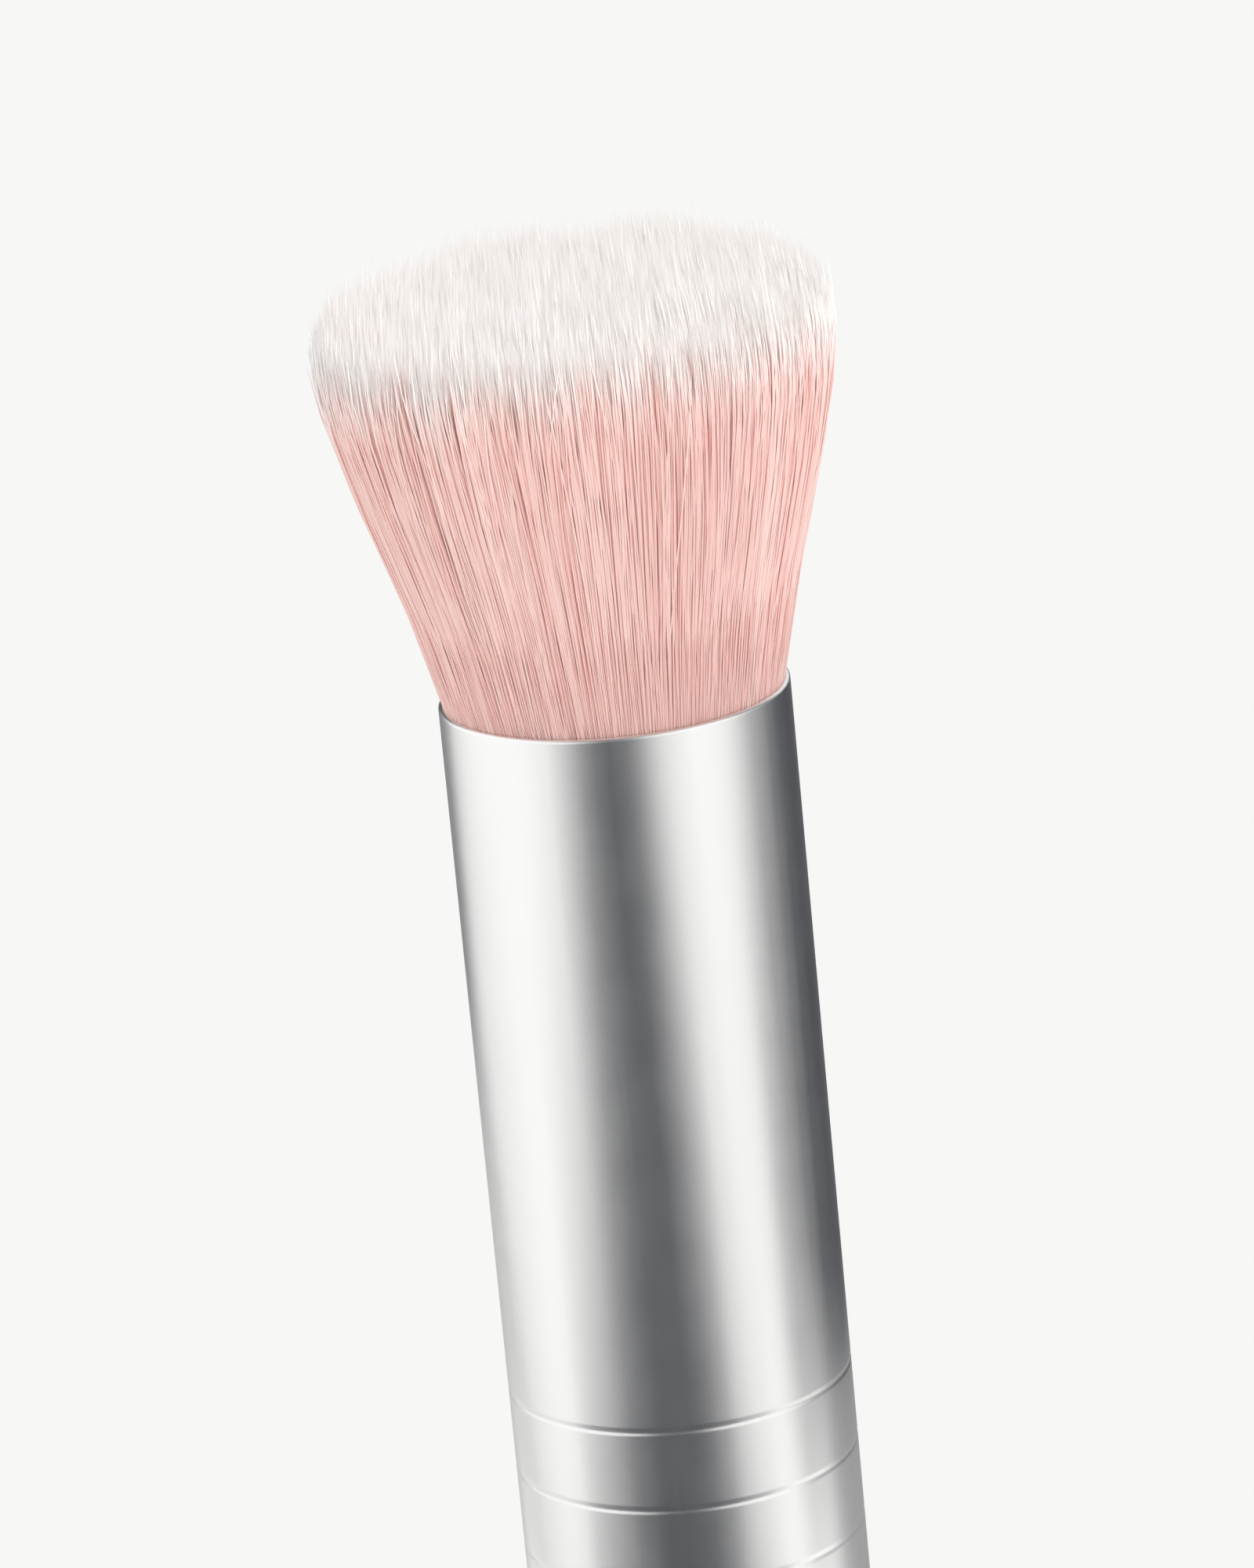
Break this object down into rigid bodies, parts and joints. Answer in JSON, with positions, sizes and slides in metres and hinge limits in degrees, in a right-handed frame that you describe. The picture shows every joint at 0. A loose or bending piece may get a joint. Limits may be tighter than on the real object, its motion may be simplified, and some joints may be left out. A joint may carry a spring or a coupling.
{
  "type": "blush brush",
  "caption": "Make-up brush for blush: a flared, flat-domed tuft of pink filaments with white tips in a crimped satin aluminium ferrule on a tapered aluminium handle.",
  "frame": {"origin": "centre of the flat end of the handle, on the surface that the brush stands on", "axes": "+Z along the brush from the flat end to the bristles, -Y towards the viewer of the picture"},
  "size_m": [0.025, 0.025, 0.1744],
  "materials": {
    "satin_aluminium": "satin anodised",
    "turned_aluminium": "fine turned, anodised",
    "beech": "plain turned",
    "glue": "cast",
    "thread": "wound thread",
    "dyed_filament": "soft satin, dyed pink with white tips"
  },
  "bodies": {
    "root": {"end_cap": "turned_aluminium", "handle_tube": "satin_aluminium", "tenon": "beech", "ferrule": "satin_aluminium", "root_plug": "glue", "root_binding": "thread", "bristles_core": "dyed_filament", "bristles_inner": "dyed_filament", "bristles_middle": "dyed_filament", "bristles_outer": "dyed_filament"}
  },
  "joints": []
}
